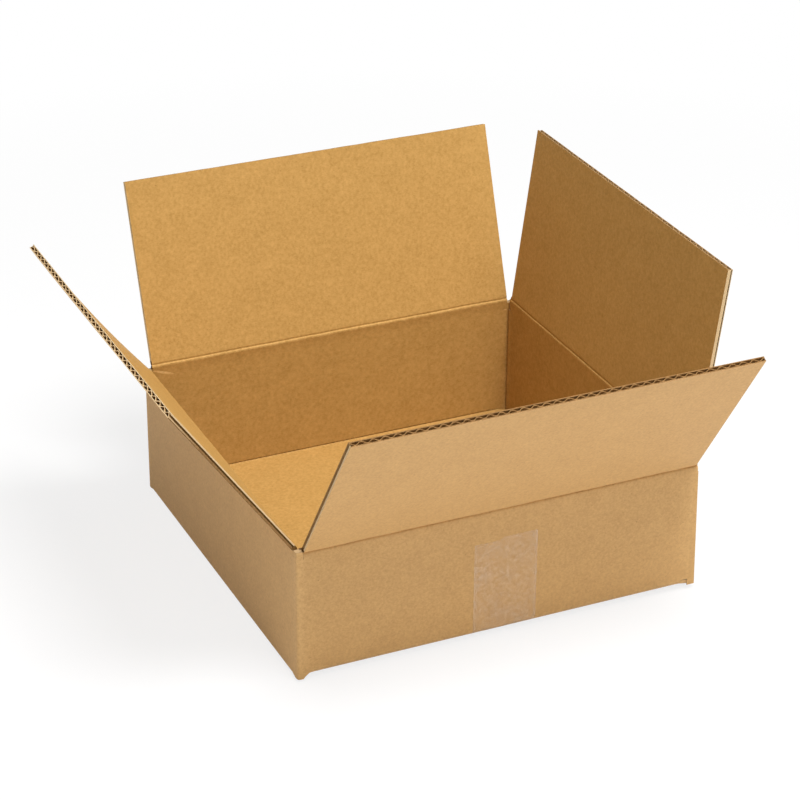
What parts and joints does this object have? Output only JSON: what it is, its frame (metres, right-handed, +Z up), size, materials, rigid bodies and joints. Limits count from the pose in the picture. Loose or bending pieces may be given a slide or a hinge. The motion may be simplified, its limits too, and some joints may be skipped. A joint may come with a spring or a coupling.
{
  "type": "open corrugated cardboard box",
  "caption": "Shallow open-top corrugated cardboard box with hinged top flaps standing open, crushed fold lines, open flute ends and clear tape over the bottom seam.",
  "frame": {"origin": "on the ground under the middle of the carton, on the underside of the seam tape", "axes": "+X to the right along the front wall, +Y to the back, +Z up"},
  "size_m": [0.407, 0.4184, 0.2441],
  "materials": {
    "kraft_board": "matt",
    "clear_tape": "clear, satin"
  },
  "bodies": {
    "carton": {"carton_body": "kraft_board", "seam_tape": "clear_tape"},
    "front_flap": {"front_flap": "kraft_board"},
    "back_flap": {"back_flap": "kraft_board"},
    "left_flap": {"left_flap": "kraft_board"},
    "right_flap": {"right_flap": "kraft_board"}
  },
  "joints": [
    {"name": "front_fold", "type": "hinge", "parent": "carton", "child": "front_flap", "pos_m": [0, -0.1456, 0.1], "axis": [1, 0, 0], "range_deg": [-123.5, 96.5]},
    {"name": "back_fold", "type": "hinge", "parent": "carton", "child": "back_flap", "pos_m": [0, 0.1456, 0.1], "axis": [-1, 0, 0], "range_deg": [-109, 111]},
    {"name": "left_fold", "type": "hinge", "parent": "carton", "child": "left_flap", "pos_m": [-0.1506, 0, 0.10395], "axis": [0, -1, 0], "range_deg": [-126.5, 93.5]},
    {"name": "right_fold", "type": "hinge", "parent": "carton", "child": "right_flap", "pos_m": [0.1506, 0, 0.10395], "axis": [0, 1, 0], "range_deg": [-97.5, 122.5]}
  ]
}
